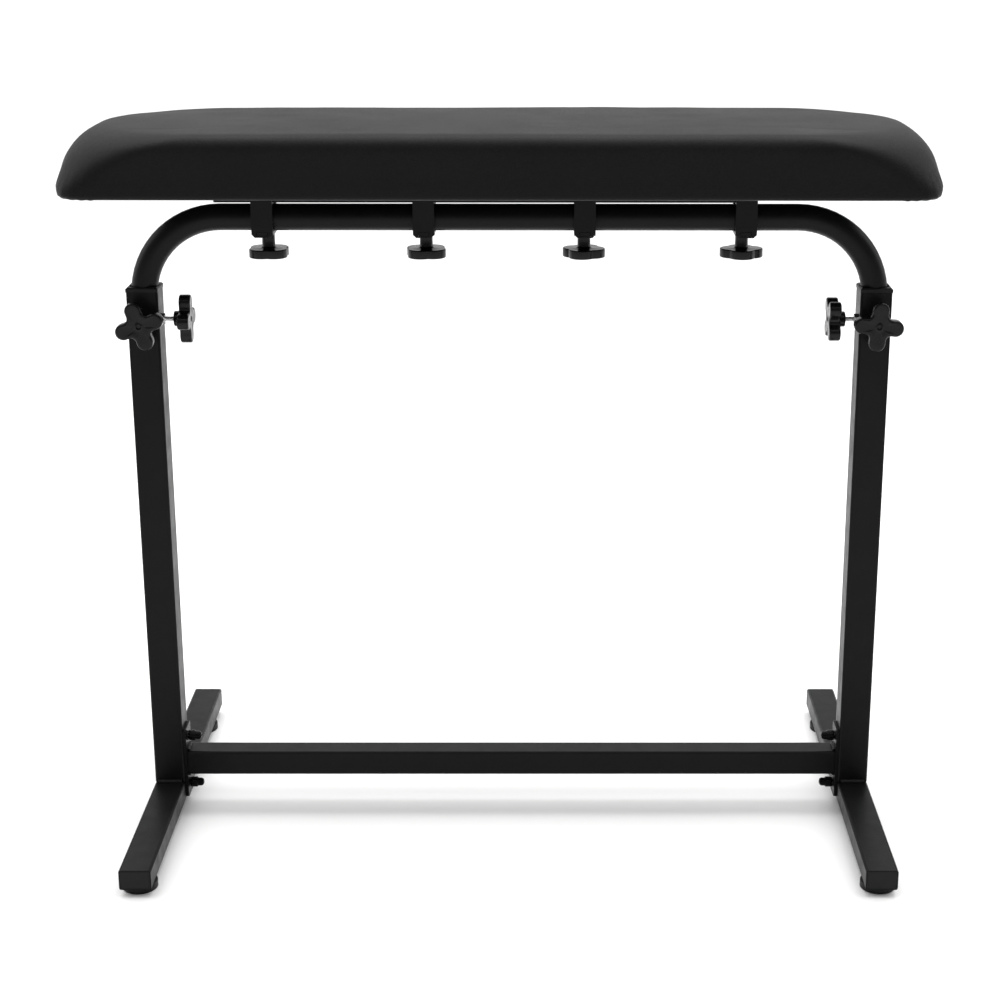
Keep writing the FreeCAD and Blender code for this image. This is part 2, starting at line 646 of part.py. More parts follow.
# support rail: channel, open towards the board
rail_out = box("support_rail_out", "2 * rail_half", "rail_wide", "rail_tall", "rail_x", "axis_y", "pad_low - rail_tall")
rail_in = box("support_rail_in", "2 * rail_half + 4", "rail_wide - 2 * rail_wall", "rail_tall", "rail_x", "axis_y",
              "pad_low - rail_tall + rail_wall")
rail_holes, screws = [], []
for k, xs in enumerate(("-210", "0", "210")):
    rail_holes.append(cyl(f"rail_hole_{k}", "2.2", "10", f"rail_x + ({xs})", "axis_y", "pad_low - rail_tall - 2"))
    head = cyl(f"rail_screw_{k}_head", "3.8", "2.2", f"rail_x + ({xs})", "axis_y", "pad_low - rail_tall + rail_wall")
    shank = cyl(f"rail_screw_{k}_shank", "2", "24", f"rail_x + ({xs})", "axis_y", "pad_low - rail_tall + rail_wall")
    screws.append(fuse(f"rail_screw_{k}", head, shank))
keep("support_rail", cut("support_rail_channel", rail_out, rail_in, *rail_holes))
# the screws run up through the cloth into the board
board_holes = [cyl(f"board_hole_{k}", "2", "30", f"rail_x + ({xs})", "axis_y", "pad_low - 10")
               for k, xs in enumerate(("-210", "0", "210"))]
nodes.pop("base_board")
keep("base_board", cut("base_board_drilled", bround, *board_holes))
nodes.pop("dust_cover")
cloth_holes = [cyl(f"cloth_hole_{k}", "2", "30", f"rail_x + ({xs})", "axis_y", "pad_low - 10")
               for k, xs in enumerate(("-210", "0", "210"))]
keep("dust_cover", cut("dust_cover_punched", cloth, *cloth_holes))
keep("rail_screws", group("rail_screw_group", *screws))

# ---------------------------------------------------------------- tube clamps
clamp_nuts = []
for k in range(4):
    n = f"clamp_{k + 1}"
    cx = f"({k} - 1.5) * clamp_pitch + clamp_mid"
    # bracket: web under the rail, front leg with a slot for the jaw, rear leg with a nut flange
    web = box(n + "_web", "clamp_wide", "rail_wide + 2 * strap_thick", "2", cx, "axis_y", "pad_low - rail_tall - 2")
    leg = box(n + "_front_blank", "clamp_wide", "strap_thick", "pad_low - tube_high + 17", cx,
              "axis_y - rail_wide / 2 - strap_thick / 2", "tube_high - 17")
    doc.recompute()
    front = doc.addObject("Part::Chamfer", n + "_front_leg")
    front.Base = leg
    front.Edges = [(j, 3.0, 3.0) for j, e in enumerate(leg.Shape.Edges, start=1)
                   if abs(e.tangentAt(e.FirstParameter).y) > 0.99 and e.CenterOfMass.z < S["tube_high"]]
    slot = box(n + "_slot", "10.6", "8", "4.2", cx, "axis_y - rail_wide / 2 - strap_thick / 2", "tube_high - 15.6")
    rear = box(n + "_rear_leg", "clamp_wide", "strap_thick", "pad_low - tube_high - 2", cx,
               "axis_y + rail_wide / 2 + strap_thick / 2", "tube_high + 2")
    flange = box(n + "_flange", "clamp_wide", "22", "strap_thick", cx, "axis_y + rail_wide / 2 + 11", "tube_high + 2")
    bracket = cut(n + "_bracket_made",
                  fuse(n + "_bracket_blank", web, front, rear, flange),
                  slot,
                  cyl(n + "_nut_hole", "3.2", "12", cx, "axis_y + screw_off", "tube_high - 2"),
                  cyl(n + "_tube_room", "tube_rad + 0.4", "40", f"({cx}) - 20", "axis_y", "tube_high", "x"))
    keep(n + "_bracket", bracket)
    # jaw: plate under the tube with a shallow saddle, a tab through the front leg, a screw hole behind
    plate = box(n + "_jaw_plate", "clamp_wide", "rail_wide / 2 + 38 - 0.2", "3.8", cx,
                "axis_y + (38 - rail_wide / 2 + 0.2) / 2", "tube_high - 15.4")
    tab = box(n + "_jaw_tab", "10", "6", "3.8", cx, "axis_y - rail_wide / 2 - strap_thick + 3", "tube_high - 15.4")
    jaw = cut(n + "_jaw_made",
              fuse(n + "_jaw_blank", plate, tab),
              cyl(n + "_jaw_saddle", "tube_rad + 0.4", "40", f"({cx}) - 20", "axis_y", "tube_high", "x"),
              cyl(n + "_jaw_hole", "3.6", "12", cx, "axis_y + screw_off", "tube_high - 20"))
    keep(n + "_jaw", jaw)
    hexa = doc.addObject("Part::Prism", n + "_nut_hex")
    hexa.Polygon = 6
    bind(hexa, {"Circumradius": "5.2", "Height": "4"})
    at(hexa, cx, "axis_y + screw_off", "tube_high + 2 + strap_thick")
    clamp_nuts.append(cut(n + "_nut", hexa, cyl(n + "_nut_bore", "nut_rad", "8", cx, "axis_y + screw_off",
                                                "tube_high + 3")))
    grip = star(n + "_grip", "grip_core", "grip_lobe", "grip_off", "grip_thick", "neck_rad", "neck_len",
                GRIP, "3.2", True)
    turn = (45.0, 37.6, 15.6, 0.0)[k]
    at(grip, cx, "axis_y + screw_off", "tube_high - 15.4 - 0.4", "-z", turn)
    keep(f"clamp_knob_{k + 1}", grip)
    keep(f"clamp_stud_{k + 1}",
         cyl(n + "_stud", "stud_rad", "neck_len + 5 + 0.4 + 15.4 + 12", cx, "axis_y + screw_off",
             "tube_high - 15.4 - 0.4 - neck_len - 5"))
keep("clamp_weld_nuts", group("clamp_nut_group", *clamp_nuts))

# ---------------------------------------------------------------- checks and export
doc.recompute()
bad = []
for o in doc.Objects:
    state = " ".join(o.State)
    if "Invalid" in state or "Error" in state:
        bad.append(f"{o.Name}: {state}")
for node, obj in nodes.items():
    sh = obj.Shape
    if sh.isNull() or not sh.isValid() or not sh.Solids:
        bad.append(f"{node}: no valid solid")
if bad:
    raise RuntimeError("; ".join(bad))
if len(nodes) > 60:
    raise RuntimeError("too many nodes")
for f in os.listdir("parts"):
    if f.endswith(".step"):
        os.remove(os.path.join("parts", f))
for node, obj in sorted(nodes.items()):
    obj.Shape.exportStep(f"parts/{node}.step")
    bb = obj.Shape.BoundBox
    print(f"{node:28s} solids {len(obj.Shape.Solids)} volume {obj.Shape.Volume / 1000:9.2f} cm3  "
          f"x {bb.XMin:8.1f} {bb.XMax:8.1f}  y {bb.YMin:8.1f} {bb.YMax:8.1f}  z {bb.ZMin:7.1f} {bb.ZMax:7.1f}")
print(len(nodes), "nodes")
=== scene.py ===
import bpy
import numpy as np
import bmesh
import json
import math
from mathutils import Matrix, Vector, noise


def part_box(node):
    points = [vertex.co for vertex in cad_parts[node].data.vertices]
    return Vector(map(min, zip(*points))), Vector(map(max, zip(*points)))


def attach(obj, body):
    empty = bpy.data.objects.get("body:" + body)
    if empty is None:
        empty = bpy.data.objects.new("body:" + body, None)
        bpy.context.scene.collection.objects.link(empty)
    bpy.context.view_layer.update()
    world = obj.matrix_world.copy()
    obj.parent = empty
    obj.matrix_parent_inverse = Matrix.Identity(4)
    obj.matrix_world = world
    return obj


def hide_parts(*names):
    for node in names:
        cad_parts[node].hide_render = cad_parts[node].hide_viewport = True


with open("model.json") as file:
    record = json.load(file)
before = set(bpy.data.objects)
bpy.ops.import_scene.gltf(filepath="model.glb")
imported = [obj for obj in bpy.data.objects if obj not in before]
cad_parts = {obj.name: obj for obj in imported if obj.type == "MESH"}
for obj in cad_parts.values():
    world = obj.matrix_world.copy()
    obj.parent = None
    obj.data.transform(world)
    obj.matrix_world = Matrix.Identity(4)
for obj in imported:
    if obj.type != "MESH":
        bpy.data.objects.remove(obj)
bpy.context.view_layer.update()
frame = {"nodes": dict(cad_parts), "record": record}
nodes = frame["nodes"]
scene = bpy.context.scene
MM = 0.001

# the frame's middle is 7 mm off the pad's middle; posts and tube lie 12 mm before the middle
FRAME_X, AXIS_Y = 0.007, -0.012
POST_HALF, POST_W = 0.3452, 0.030
TUBE_Z = 0.5995


# ------------------------------------------------------------------ materials
def material(name, color, rough, ior=1.45, metallic=0.0):
    m = bpy.data.materials.new(name)
    m.use_nodes = True
    nt = m.node_tree
    bsdf = nt.nodes.get("Principled BSDF")
    bsdf.inputs["Base Color"].default_value = (*color, 1.0)
    bsdf.inputs["Roughness"].default_value = rough
    bsdf.inputs["IOR"].default_value = ior
    bsdf.inputs["Metallic"].default_value = metallic
    m.diffuse_color = (*color, 1.0)
    return m, nt, bsdf


def coords(nt, scale=(1, 1, 1)):
    """The piece's own coordinates in metres, stretched by scale."""
    tc = nt.nodes.new("ShaderNodeTexCoord")
    mp = nt.nodes.new("ShaderNodeMapping")
    mp.inputs["Scale"].default_value = scale
    nt.links.new(tc.outputs["Object"], mp.inputs["Vector"])
    return mp.outputs["Vector"]


def tex_noise(nt, vec, scale, detail=3.0, rough=0.55):
    n = nt.nodes.new("ShaderNodeTexNoise")
    n.inputs["Scale"].default_value = scale
    n.inputs["Detail"].default_value = detail
    n.inputs["Roughness"].default_value = rough
    nt.links.new(vec, n.inputs["Vector"])
    return n.outputs["Fac"]


def tex_cells(nt, vec, scale, feature="DISTANCE_TO_EDGE", randomness=1.0):
    n = nt.nodes.new("ShaderNodeTexVoronoi")
    n.feature = feature
    n.inputs["Scale"].default_value = scale
    n.inputs["Randomness"].default_value = randomness
    nt.links.new(vec, n.inputs["Vector"])
    return n.outputs["Distance"]


def math_node(nt, op, a, b=None, clamp=False):
    n = nt.nodes.new("ShaderNodeMath")
    n.operation = op
    n.use_clamp = clamp
    for k, v in enumerate((a, b)):
        if v is None:
            continue
        if isinstance(v, (int, float)):
            n.inputs[k].default_value = v
        else:
            nt.links.new(v, n.inputs[k])
    return n.outputs[0]


def span(nt, value, lo, hi, to_lo, to_hi):
    n = nt.nodes.new("ShaderNodeMapRange")
    n.inputs["From Min"].default_value = lo
    n.inputs["From Max"].default_value = hi
    n.inputs["To Min"].default_value = to_lo
    n.inputs["To Max"].default_value = to_hi
    nt.links.new(value, n.inputs["Value"])
    return n.outputs["Result"]


def blend_color(nt, fac, a, b):
    n = nt.nodes.new("ShaderNodeMix")
    n.data_type = "RGBA"
    n.inputs["A"].default_value = (*a, 1.0)
    n.inputs["B"].default_value = (*b, 1.0)
    nt.links.new(fac, n.inputs["Factor"])
    return n.outputs["Result"]


def bump(nt, height, strength, distance, below=None):
    n = nt.nodes.new("ShaderNodeBump")
    n.inputs["Strength"].default_value = strength
    n.inputs["Distance"].default_value = distance
    nt.links.new(height, n.inputs["Height"])
    if below is not None:
        nt.links.new(below, n.inputs["Normal"])
    return n.outputs["Normal"]


def powder_coat(name, ripple=False):
    """Black powder coat: satin, fine orange peel, a little variation in gloss."""
    m, nt, b = material(name, (0.0042, 0.0042, 0.0044), 0.36, ior=1.2)
    v = coords(nt)
    cloud = tex_noise(nt, v, 14.0, 3.0)
    nt.links.new(blend_color(nt, cloud, (0.0030, 0.0030, 0.0032), (0.0056, 0.0056, 0.0059)), b.inputs["Base Color"])
    nt.links.new(span(nt, tex_noise(nt, v, 60.0, 4.0), 0.3, 0.7, 0.31, 0.42), b.inputs["Roughness"])
    peel = tex_noise(nt, v, 520.0, 2.0, 0.45)
    fine = tex_noise(nt, v, 2100.0, 2.0, 0.5)
    n = bump(nt, peel, 0.32, 0.00025)
    n = bump(nt, fine, 0.28, 0.0001, n)
    if ripple:
        w = nt.nodes.new("ShaderNodeTexNoise")
        w.inputs["Scale"].default_value = 380.0
        w.inputs["Detail"].default_value = 1.0
        nt.links.new(v, w.inputs["Vector"])
        n = bump(nt, w.outputs["Fac"], 0.8, 0.0009, n)
    nt.links.new(n, b.inputs["Normal"])
    return m


def leather(name):
    """Black leather-like skin: fine pebble grain with painted shade in its valleys, soft sheen that varies."""
    m, nt, b = material(name, (0.005, 0.005, 0.005), 0.42, ior=1.22)
    v = coords(nt)
    cells = tex_cells(nt, v, 720.0)
    pebble_and_valley_shade = span(nt, cells, 0.0, 0.32, 0.0, 1.0)
    warp = tex_noise(nt, v, 1500.0, 3.0, 0.6)
    cloud = tex_noise(nt, v, 9.0, 4.0, 0.6)
    shade = blend_color(nt, cloud, (0.0036, 0.0036, 0.0036), (0.0062, 0.0061, 0.0060))
    mix = nt.nodes.new("ShaderNodeMix")
    mix.data_type = "RGBA"
    mix.blend_type = "MULTIPLY"
    mix.inputs["Factor"].default_value = 1.0
    nt.links.new(shade, mix.inputs["A"])
    # painted shade: the base colour is darkened to 0.55 in the grain's valleys between the pebbles
    nt.links.new(blend_color(nt, pebble_and_valley_shade, (0.55, 0.55, 0.55), (1, 1, 1)), mix.inputs["B"])
    nt.links.new(mix.outputs["Result"], b.inputs["Base Color"])
    r = math_node(nt, "ADD", span(nt, cloud, 0.25, 0.75, 0.37, 0.46), span(nt, pebble_and_valley_shade, 0.0, 1.0, 0.10, 0.0))
    nt.links.new(r, b.inputs["Roughness"])
    n = bump(nt, tex_noise(nt, v, 55.0, 3.0, 0.5), 0.12, 0.0012)
    n = bump(nt, pebble_and_valley_shade, 0.50, 0.00020, n)
    n = bump(nt, warp, 0.22, 0.00012, n)
    nt.links.new(n, b.inputs["Normal"])
    return m


def gloss_plastic(name, shade=1.0, ior=1.27, rough=0.15):
    """Moulded black plastic with a polished skin."""
    m, nt, b = material(name, (0.004, 0.004, 0.0043), 0.20, ior=ior)
    v = coords(nt)
    nt.links.new(blend_color(nt, tex_noise(nt, v, 90.0, 3.0), tuple(c * shade for c in (0.0028, 0.0028, 0.0031)),
                            tuple(c * shade for c in (0.0058, 0.0058, 0.0062))),
                 b.inputs["Base Color"])
    nt.links.new(span(nt, tex_noise(nt, v, 240.0, 4.0), 0.3, 0.7, rough, rough + 0.13), b.inputs["Roughness"])
    n = bump(nt, tex_noise(nt, v, 160.0, 2.0), 0.10, 0.0005)
    n = bump(nt, tex_noise(nt, v, 1400.0, 2.0), 0.08, 0.0001, n)
    nt.links.new(n, b.inputs["Normal"])
    return m


def matte_plastic(name, color=(0.0060, 0.0060, 0.0063), rough=0.42):
    """Moulded black plastic with a fine spark-eroded skin."""
    m, nt, b = material(name, color, rough, ior=1.27)
    v = coords(nt)
    dark = tuple(c * 0.7 for c in color)
    nt.links.new(blend_color(nt, tex_noise(nt, v, 120.0, 3.0), dark, color), b.inputs["Base Color"])
    nt.links.new(span(nt, tex_noise(nt, v, 300.0, 4.0), 0.3, 0.7, rough - 0.06, rough + 0.08), b.inputs["Roughness"])
    n = bump(nt, tex_noise(nt, v, 1600.0, 3.0, 0.6), 0.30, 0.00012)
    nt.links.new(n, b.inputs["Normal"])
    return m


def zinc(name):
    """Bright zinc-plated steel with faint clouding."""
    m, nt, b = material(name, (0.62, 0.62, 0.63), 0.28, ior=1.45, metallic=1.0)
    v = coords(nt)
    cloud = tex_noise(nt, v, 180.0, 4.0)
    nt.links.new(blend_color(nt, cloud, (0.50, 0.50, 0.50), (0.72, 0.72, 0.74)), b.inputs["Base Color"])
    nt.links.new(span(nt, tex_noise(nt, v, 700.0, 4.0), 0.3, 0.7, 0.20, 0.38), b.inputs["Roughness"])
    n = bump(nt, tex_noise(nt, v, 1800.0, 2.0), 0.15, 0.00008)
    nt.links.new(n, b.inputs["Normal"])
    return m


def cloth_material(name):
    """Black non-woven dust cloth: pressed dimples over tangled fibres."""
    m, nt, b = material(name, (0.012, 0.012, 0.012), 0.86, ior=1.25)
    v = coords(nt)
    dimple = tex_cells(nt, v, 480.0, "F1", 0.12)
    fibre = tex_noise(nt, coords(nt, (1.0, 3.0, 1.0)), 900.0, 5.0, 0.7)
    nt.links.new(blend_color(nt, fibre, (0.006, 0.006, 0.006), (0.022, 0.022, 0.022)), b.inputs["Base Color"])
    nt.links.new(span(nt, fibre, 0.3, 0.7, 0.78, 0.95), b.inputs["Roughness"])
    n = bump(nt, dimple, 0.5, 0.0003)
    n = bump(nt, fibre, 0.5, 0.0002, n)
    nt.links.new(n, b.inputs["Normal"])
    return m


def wood_material(name):
    """Bare plywood: long grain, thin darker streaks."""
    m, nt, b = material(name, (0.5, 0.36, 0.2), 0.6, ior=1.45)
    v = coords(nt, (2.0, 30.0, 30.0))
    grain = tex_noise(nt, v, 12.0, 6.0, 0.6)
    nt.links.new(blend_color(nt, grain, (0.34, 0.22, 0.11), (0.62, 0.46, 0.28)), b.inputs["Base Color"])
    nt.links.new(span(nt, grain, 0.3, 0.7, 0.52, 0.7), b.inputs["Roughness"])
    nt.links.new(bump(nt, grain, 0.3, 0.0004), b.inputs["Normal"])
    return m


M_COAT = powder_coat("powder_coat")
M_WELD = powder_coat("powder_coat_weld", ripple=True)
M_LEATHER = leather("cover_leather")
M_GLOSS = gloss_plastic("gloss_black_plastic")
M_CAP = gloss_plastic("cap_black_plastic", 0.5, 1.16, 0.10)
M_MATTE = matte_plastic("matte_black_plastic")
M_ZINC = zinc("zinc_steel")
M_CLOTH = cloth_material("dust_cloth")
M_WOOD = wood_material("plywood")
BY_SLOT = {"powder_coat": M_COAT, "gloss_black_plastic": M_GLOSS, "matte_black_plastic": M_MATTE,
           "zinc_steel": M_ZINC, "cover_leather": M_LEATHER, "foam": M_LEATHER, "plywood": M_WOOD,
           "dust_cloth": M_CLOTH}
for sub in frame["record"]["subparts"]:
    ob = nodes[sub["node"]]
    ob.data.materials.clear()
    ob.data.materials.append(M_WELD if sub["node"] == "frame_welds" else BY_SLOT[sub["material_slot"]])

# thin bright edges on the sheet-metal and tube nodes
for name in ("foot_left", "foot_right", "post_left", "post_right", "crossbar", "end_plate_left", "end_plate_right",
             "support_rail", "collar_left", "collar_right",
             *(f"clamp_{k}_{w}" for k in range(1, 5) for w in ("bracket", "jaw"))):
    ob = nodes[name]
    weld = ob.modifiers.new("weld", "WELD")
    weld.merge_threshold = 0.00001
    bev = ob.modifiers.new("edge", "BEVEL")
    bev.width = 0.00035
    bev.segments = 2
    bev.limit_method = "ANGLE"
    bev.angle_limit = math.radians(42)
    bev.harden_normals = False


# ------------------------------------------------------------------ mesh helpers
def add_object(name, me, mat, body, smooth=True):
    ob = bpy.data.objects.new(name, me)
    scene.collection.objects.link(ob)
    me.materials.append(mat)
    if smooth:
        me.polygons.foreach_set("use_smooth", [True] * len(me.polygons))
    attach(ob, body)
    return ob


AXES = {  # local x, y, z in the row frame
    "-y": (Vector((1, 0, 0)), Vector((0, 0, 1)), Vector((0, -1, 0))),
    "x": (Vector((0, 0, -1)), Vector((0, 1, 0)), Vector((1, 0, 0))),
    "-x": (Vector((0, 0, 1)), Vector((0, 1, 0)), Vector((-1, 0, 0))),
    "z": (Vector((1, 0, 0)), Vector((0, 1, 0)), Vector((0, 0, 1))),
    "-z": (Vector((1, 0, 0)), Vector((0, -1, 0)), Vector((0, 0, -1))),
}


def place(verts, origin, axis, spin=0.0):
    ax, ay, az = AXES[axis]
    c, s = math.cos(math.radians(spin)), math.sin(math.radians(spin))
    return [origin + ax * (x * c - y * s) + ay * (x * s + y * c) + az * z for x, y, z in verts]


def rings_mesh(name, rings, close_first=True, close_last=True):
    """Skin over a stack of rings that all have the same number of points."""
    n = len(rings[0])
    verts = [p for r in rings for p in r]
    faces = []
    for k in range(len(rings) - 1):
        for i in range(n):
            j = (i + 1) % n
            faces.append((k * n + i, k * n + j, (k + 1) * n + j, (k + 1) * n + i))
    if close_first:
        c = len(verts)
        verts.append(sum((Vector(p) for p in rings[0]), Vector()) / n)
        faces += [(c, (i + 1) % n, i) for i in range(n)]
    if close_last:
        c = len(verts)
        verts.append(sum((Vector(p) for p in rings[-1]), Vector()) / n)
        b = (len(rings) - 1) * n
        faces += [(c, b + i, b + (i + 1) % n) for i in range(n)]
    me = bpy.data.meshes.new(name)
    me.from_pydata([tuple(v) for v in verts], [], faces)
    me.update()
    return me


def lobed_radius(angle, core, lobe, off, valley, inset, lobes=4):
    """Distance from the middle to the outline of a lobed grip, moved inwards by inset."""
    ca, sa = math.cos(angle), math.sin(angle)
    lo, hi = 0.0, off + lobe + 1.0
    for _ in range(26):
        r = (lo + hi) / 2
        x, y = r * ca, r * sa
        d = math.hypot(x, y) - core
        near = 1e9
        for k in range(lobes):
            t = 2 * math.pi * k / lobes
            near = min(near, math.hypot(x - off * math.cos(t), y - off * math.sin(t)) - lobe)
        h = max(valley - abs(d - near), 0.0) / valley
        sd = min(d, near) - h * h * valley * 0.25
        if sd + inset > 0:
            hi = r
        else:
            lo = r
    return (lo + hi) / 2


def knob_mesh(name, core, lobe, off, valley, thick, hub_r, hub_l, origin, axis, spin, round_edge=1.8, dish=0.5,
              recess=3.1, n=144):
    """Moulded knob: collar with a step, lobed grip with rolled edges, dished face with a small round recess."""
    ang = [2 * math.pi * i / n for i in range(n)]
    cache = {}

    def outline(inset):
        key = round(inset, 4)
        if key not in cache:
            cache[key] = [lobed_radius(a, core, lobe, off, valley, inset) for a in ang]
        return cache[key]

    def lobed(z, inset, mix=0.0, r0=0.0):
        out = outline(inset)
        return [((q * (1 - mix) + r0 * mix) * math.cos(a), (q * (1 - mix) + r0 * mix) * math.sin(a), z)
                for q, a in zip(out, ang)]

    def circle(z, r):
        return [(r * math.cos(a), r * math.sin(a), z) for a in ang]

    rings = [circle(0.25, 2.55), circle(0.0, 3.1), circle(0.0, hub_r - 0.8), circle(0.25, hub_r - 0.25),
             circle(0.8, hub_r)]
    if hub_l > 9:  # a long neck: slight taper and a foot where it meets the grip
        rings += [circle(hub_l * 0.5, hub_r * 1.01), circle(hub_l - 2.0, hub_r * 1.03), circle(hub_l - 0.6, hub_r * 1.12),
                  circle(hub_l, hub_r * 1.32)]
    else:
        rings += [circle(hub_l - 0.9, hub_r * 1.02), circle(hub_l - 0.3, hub_r * 1.06), circle(hub_l, hub_r * 1.16)]
    z0, z1, e = hub_l, hub_l + thick, round_edge
    steps = 6
    rings.append(lobed(z0, e + 0.6))
    for k in range(steps + 1):
        t = math.pi / 2 * k / steps
        rings.append(lobed(z0 + e * (1 - math.cos(t)), e * (1 - math.sin(t))))
    rings.append(lobed((z0 + z1) / 2, 0.0))
    for k in range(steps + 1):
        t = math.pi / 2 * k / steps
        rings.append(lobed(z1 - e + e * math.sin(t), e * (1 - math.cos(t))))
    for mix, dz in ((0.12, 0.02), (0.3, 0.12), (0.5, 0.28), (0.7, 0.42), (0.88, dish)):
        rings.append(lobed(z1 - dz * (dish / 0.5 if dish else 0), e, mix, recess + 1.4))
    top = z1 - dish
    rings += [circle(top, recess + 1.1), circle(top + 0.25, recess + 0.7), circle(top + 0.25, recess + 0.25),
              circle(top, recess), circle(top - 1.0, recess - 0.15), circle(top - 1.2, recess - 0.45),
              circle(top - 1.2, 0.8)]
    rings = [[Vector((x * MM, y * MM, z * MM)) for x, y, z in r] for r in rings]
    rings = [place(r, origin, axis, spin) for r in rings]
    return rings_mesh(name, rings)


def thread_mesh(name, r, length, pitch, origin, axis, n=28, depth=None):
    """Threaded rod with a real helical ridge and chamfered ends."""
    depth = depth if depth is not None else pitch * 0.55
    per = 6
    rows = max(4, int(length / pitch * per))
    verts, faces = [], []
    for k in range(rows + 1):
        z = length * k / rows
        for i in range(n):
            a = 2 * math.pi * i / n
            ph = (z / pitch - i / n) % 1.0
            ridge = 1 - abs(2 * ph - 1)
            ridge = min(1.0, max(0.0, (ridge - 0.15) / 0.7))
            rr = r - depth * (1 - ridge)
            end = min(z, length - z)
            rr = min(rr, r - max(0.0, pitch * 0.8 - end) * 0.8)
            verts.append(Vector((rr * math.cos(a), rr * math.sin(a), z)))
        if k:
            b = (k - 1) * n
            for i in range(n):
                j = (i + 1) % n
                faces.append((b + i, b + j, b + n + j, b + n + i))
    verts = place([tuple(v) for v in verts], origin, axis)
    c0 = len(verts)
    verts.append(sum(verts[:n], Vector()) / n)
    verts.append(sum(verts[rows * n:rows * n + n], Vector()) / n)
    for i in range(n):
        faces.append((c0, (i + 1) % n, i))
        faces.append((c0 + 1, rows * n + i, rows * n + (i + 1) % n))
    me = bpy.data.meshes.new(name)
    me.from_pydata([tuple(v) for v in verts], [], faces)
    me.update()
    return me


# ------------------------------------------------------------------ star knobs and their studs
STAR_TURN = {("left", "front"): 19.0, ("right", "front"): -5.0, ("left", "side"): 0.0, ("right", "side"): 45.0}
STAR_Z = 0.5025
for side, sg in (("left", -1), ("right", 1)):
    px = FRAME_X + sg * POST_HALF
    for where in ("front", "side"):
        body = f"star_{side}_{where}"
        turn = STAR_TURN[(side, where)]
        if where == "front":
            axis, origin = "-y", Vector((px, AXIS_Y - 0.015 - 0.008, STAR_Z))
            stud_from = Vector((px, AXIS_Y - 0.0129, STAR_Z))
        else:
            axis = "x" if side == "left" else "-x"
            origin = Vector((px - sg * (0.015 + 0.012), AXIS_Y, STAR_Z))
            stud_from = Vector((px - sg * 0.0129, AXIS_Y, STAR_Z))
        knob = add_object(f"knob_{side}_{where}",
                          knob_mesh(f"knob_{side}_{where}", 12.4, 7.6, 15.6, 5.0, 11.0, 7.3, 5.5, origin, axis, turn,
                                    recess=2.2),
                          M_GLOSS, body)
        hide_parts(f"star_knob_{side}_{where}")
        stud = add_object(f"stud_{side}_{where}",
                          thread_mesh(f"stud_{side}_{where}", 0.0024, 0.0155 if where == "front" else 0.0195, 0.0009,
                                      stud_from, axis),
                          M_ZINC, body)
        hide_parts(f"star_stud_{side}_{where}")

# ------------------------------------------------------------------ clamp knobs and their studs
for k in range(4):
    cx = (k - 1.5) * 0.150 + 0.0025
    body = f"clamp_screw_{k + 1}"
    top = Vector((cx, AXIS_Y + 0.026, TUBE_Z - 0.0154 - 0.0004))
    turn = (45.0, 37.6, 15.6, 0.0)[k]
    grip = add_object(f"clamp_grip_{k + 1}",
                      knob_mesh(f"clamp_grip_{k + 1}", 15.5, 12.3, 8.2, 3.0, 8.5, 6.05, 17.6, top, "-z", turn,
                                round_edge=1.1, recess=2.4),
                      M_GLOSS, body)
    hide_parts(f"clamp_knob_{k + 1}")
    rod = add_object(f"clamp_rod_{k + 1}",
                     thread_mesh(f"clamp_rod_{k + 1}", 0.0024, 0.0328, 0.0009,
                                 Vector((cx, AXIS_Y + 0.026, top.z - 0.005)), "z"),
                     M_ZINC, body)
    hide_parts(f"clamp_stud_{k + 1}")


# ------------------------------------------------------------------ thumb bolts of the crossbar's end plates
def cap_mesh(name, origin, axis, n=80):
    """Moulded thumb cap: fluted grip, shoulder, domed nose with a small dimple."""
    rows = [(0.0, 3.0, 0), (0.0, 4.5, 0), (0.3, 4.9, 0), (0.9, 5.0, 0), (1.3, 5.2, 1), (2.5, 5.2, 1), (4.2, 5.2, 1),
            (5.8, 5.2, 1), (6.5, 5.1, 1), (7.0, 4.8, 0), (7.2, 4.4, 0), (7.3, 4.15, 0), (8.6, 4.1, 0), (10.0, 4.1, 0),
            (11.0, 4.0, 0), (11.9, 3.6, 0), (12.6, 2.9, 0), (13.0, 2.1, 0), (13.15, 1.5, 0), (13.0, 1.1, 0),
            (12.5, 0.9, 0), (12.4, 0.4, 0)]
    rings = []
    for z, r, fluted in rows:
        ring = []
        for i in range(n):
            a = 2 * math.pi * i / n
            q = r - (0.55 * max(0.0, math.cos(10 * a)) ** 3 if fluted else 0.0)
            ring.append((q * math.cos(a) * MM, q * math.sin(a) * MM, z * MM))
        rings.append(place(ring, origin, axis))
    return rings_mesh(name, rings)


for side, sg in (("left", -1), ("right", 1)):
    face_x = FRAME_X + sg * (POST_HALF - 0.018)
    for where, zz in (("upper", 0.073), ("lower", 0.0215)):
        cap = add_object(f"thumb_{side}_{where}",
                         cap_mesh(f"thumb_{side}_{where}", Vector((face_x - sg * 0.0004, AXIS_Y, zz)),
                                  "x" if side == "left" else "-x"),
                         M_CAP, f"thumb_bolt_{side}_{where}")
        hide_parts(f"bolt_cap_{side}_{where}")

# ------------------------------------------------------------------ padded top
PAD_LO, PAD_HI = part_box("seat_cover")


PAD_Y, PAD_Z = AXIS_Y, PAD_LO.z
HALF, DEEP, TALL, LEAN = 0.3955, 0.1200, 0.0570, 0.0085
END_R, SIDE_R, LOW_END, LOW_SIDE = 0.026, 0.014, 0.012, 0.004
PLAN_LOW, PLAN_HIGH, PLAN_POW = 0.021, 0.104, 1.45
CLOTH_X, CLOTH_Y = 0.354, 0.090


def apply_modifiers(ob):
    dg = bpy.context.evaluated_depsgraph_get()
    new = bpy.data.meshes.new_from_object(ob.evaluated_get(dg))
    old = ob.data
    ob.modifiers.clear()
    ob.data = new
    bpy.data.meshes.remove(old)


def quarter(h, r):
    return r - math.sqrt(max(0.0, r * r - (r - h) ** 2)) if h < r else 0.0


